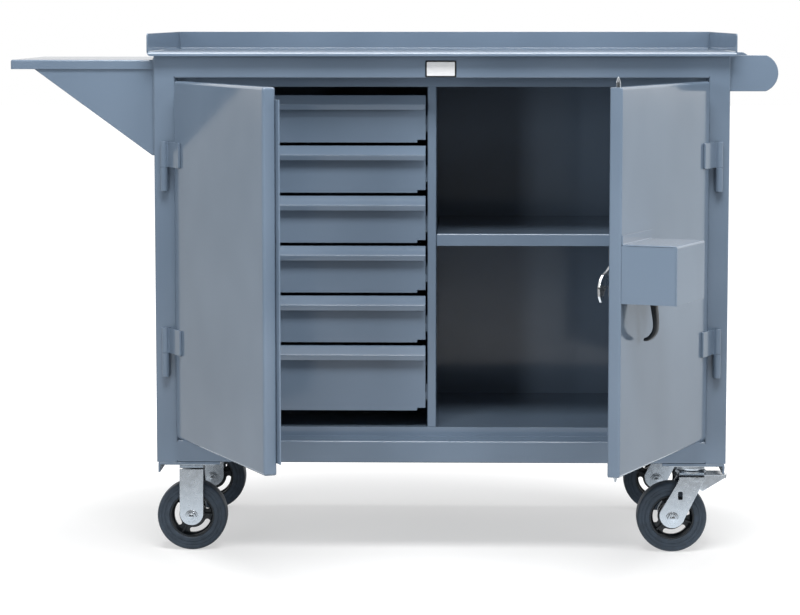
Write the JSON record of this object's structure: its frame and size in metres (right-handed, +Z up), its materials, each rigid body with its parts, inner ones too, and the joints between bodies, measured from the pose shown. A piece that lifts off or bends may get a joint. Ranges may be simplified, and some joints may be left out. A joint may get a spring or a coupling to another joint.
{
  "type": "maintenance cart",
  "caption": "Steel cabinet cart on casters with a lipped worktop, a bank of drawers, an open shelf bay, double doors with a rod latch, a vise shelf and a push handle.",
  "frame": {"origin": "middle of the foot of the whole cart's box, on the floor, as it stands with its doors part open", "axes": "+X to the right seen from the doors, towards the push handle; +Y to the back; +Z up"},
  "size_m": [1.6256, 1.2358, 1.1176],
  "materials": {
    "enamel": "gloss",
    "zinc": "bright zinc plate",
    "bright_steel": "ground",
    "cast_iron": "black paint",
    "rubber": "matte"
  },
  "bodies": {
    "cart": {"left_side_panel": "enamel", "right_side_panel": "enamel", "back_panel": "enamel", "floor_pan": "enamel", "sill_channel": "enamel", "header_channel": "enamel", "worktop": "enamel", "vise_shelf": "enamel", "vise_gusset_front": "enamel", "vise_gusset_rear": "enamel", "handle_ear_front": "enamel", "handle_ear_rear": "enamel", "push_tube": "enamel", "centre_divider": "enamel", "slide_panel": "enamel", "bay_shelf": "enamel", "left_hinge_post_upper": "enamel", "left_hinge_post_lower": "enamel", "right_hinge_post_upper": "enamel", "right_hinge_post_lower": "enamel", "caster_rail_left": "enamel", "caster_rail_right": "enamel", "fork_front_left": "zinc", "fork_rear_left": "zinc", "axle_front_left": "zinc", "axle_rear_left": "zinc", "swivel_plate_front_right": "zinc", "swivel_plate_rear_right": "zinc"},
    "left_door": {"left_door": "enamel", "left_door_astragal": "enamel", "left_hinge_leaf_upper": "enamel", "left_hinge_leaf_lower": "enamel"},
    "right_door": {"right_door": "enamel", "right_hinge_leaf_upper": "enamel", "right_hinge_leaf_lower": "enamel", "lock_shroud": "enamel"},
    "latch": {"latch_handle": "cast_iron", "latch_cam": "bright_steel"},
    "upper_rod": {"latch_rod_upper": "zinc"},
    "lower_rod": {"latch_rod_lower": "zinc"},
    "drawer_1": {"drawer_1": "enamel"},
    "drawer_2": {"drawer_2": "enamel"},
    "drawer_3": {"drawer_3": "enamel"},
    "drawer_4": {"drawer_4": "enamel"},
    "drawer_5": {"drawer_5": "enamel"},
    "drawer_6": {"drawer_6": "enamel"},
    "swivel_front": {"swivel_fork_front_right": "zinc", "axle_front_right": "zinc"},
    "pedal_front": {"brake_pedal_front_right": "zinc"},
    "wheel_front_left": {"tyre_front_left": "rubber", "wheel_core_front_left": "cast_iron"},
    "wheel_front_right": {"tyre_front_right": "rubber", "wheel_core_front_right": "cast_iron"},
    "swivel_rear": {"swivel_fork_rear_right": "zinc", "axle_rear_right": "zinc"},
    "pedal_rear": {"brake_pedal_rear_right": "zinc"},
    "wheel_rear_left": {"tyre_rear_left": "rubber", "wheel_core_rear_left": "cast_iron"},
    "wheel_rear_right": {"tyre_rear_right": "rubber", "wheel_core_rear_right": "cast_iron"}
  },
  "joints": [
    {"name": "left_door_swing", "type": "hinge", "parent": "cart", "child": "left_door", "pos_m": [-0.4857, -0.03882, 0.6], "axis": [0, 0, -1], "range_deg": [-66.1, 113.9]},
    {"name": "right_door_swing", "type": "hinge", "parent": "cart", "child": "right_door", "pos_m": [0.6889, -0.03882, 0.6], "axis": [0, 0, 1], "range_deg": [-67.5, 112.5]},
    {"name": "latch_turn", "type": "hinge", "parent": "right_door", "child": "latch", "pos_m": [0.4944, -0.47781, 0.655], "axis": [-0.9239, 0.3827, 0], "range_deg": [0, 50]},
    {"name": "upper_rod_slide", "type": "slide", "parent": "right_door", "child": "upper_rod", "axis": [0, 0, 1], "range_m": [-0.02, 0]},
    {"name": "lower_rod_slide", "type": "slide", "parent": "right_door", "child": "lower_rod", "axis": [0, 0, 1], "range_m": [0, 0.02]},
    {"name": "drawer_1_slide", "type": "slide", "parent": "cart", "child": "drawer_1", "axis": [0, -1, 0], "range_m": [0, 0.17]},
    {"name": "drawer_2_slide", "type": "slide", "parent": "cart", "child": "drawer_2", "axis": [0, -1, 0], "range_m": [0, 0.17]},
    {"name": "drawer_3_slide", "type": "slide", "parent": "cart", "child": "drawer_3", "axis": [0, -1, 0], "range_m": [0, 0.17]},
    {"name": "drawer_4_slide", "type": "slide", "parent": "cart", "child": "drawer_4", "axis": [0, -1, 0], "range_m": [0, 0.17]},
    {"name": "drawer_5_slide", "type": "slide", "parent": "cart", "child": "drawer_5", "axis": [0, -1, 0], "range_m": [0, 0.17]},
    {"name": "drawer_6_slide", "type": "slide", "parent": "cart", "child": "drawer_6", "axis": [0, -1, 0], "range_m": [0, 0.17]},
    {"name": "front_caster_swivel", "type": "hinge", "parent": "cart", "child": "swivel_front", "pos_m": [0.6426, 0.04868, 0.18], "axis": [0, 0, 1], "continuous": true},
    {"name": "front_brake_pedal", "type": "hinge", "parent": "swivel_front", "child": "pedal_front", "pos_m": [0.6536, 0.04868, 0.16], "axis": [0, 1, 0], "range_deg": [0, 20]},
    {"name": "wheel_front_left_spin", "type": "hinge", "parent": "cart", "child": "wheel_front_left", "pos_m": [-0.4384, 0.04868, 0.07581], "axis": [0, 1, 0], "continuous": true},
    {"name": "wheel_front_right_spin", "type": "hinge", "parent": "swivel_front", "child": "wheel_front_right", "pos_m": [0.6011, 0.04868, 0.07581], "axis": [0, 1, 0], "continuous": true},
    {"name": "rear_caster_swivel", "type": "hinge", "parent": "cart", "child": "swivel_rear", "pos_m": [0.6426, 0.55907, 0.18], "axis": [0, 0, 1], "continuous": true},
    {"name": "rear_brake_pedal", "type": "hinge", "parent": "swivel_rear", "child": "pedal_rear", "pos_m": [0.6536, 0.55907, 0.16], "axis": [0, 1, 0], "range_deg": [0, 20]},
    {"name": "wheel_rear_left_spin", "type": "hinge", "parent": "cart", "child": "wheel_rear_left", "pos_m": [-0.4384, 0.55907, 0.07581], "axis": [0, 1, 0], "continuous": true},
    {"name": "wheel_rear_right_spin", "type": "hinge", "parent": "swivel_rear", "child": "wheel_rear_right", "pos_m": [0.6011, 0.55907, 0.07581], "axis": [0, 1, 0], "continuous": true}
  ],
  "couplings": [
    {"joint": "upper_rod_slide", "follows": "latch_turn", "m_per_rad": -0.0229},
    {"joint": "lower_rod_slide", "follows": "latch_turn", "m_per_rad": 0.0229}
  ]
}
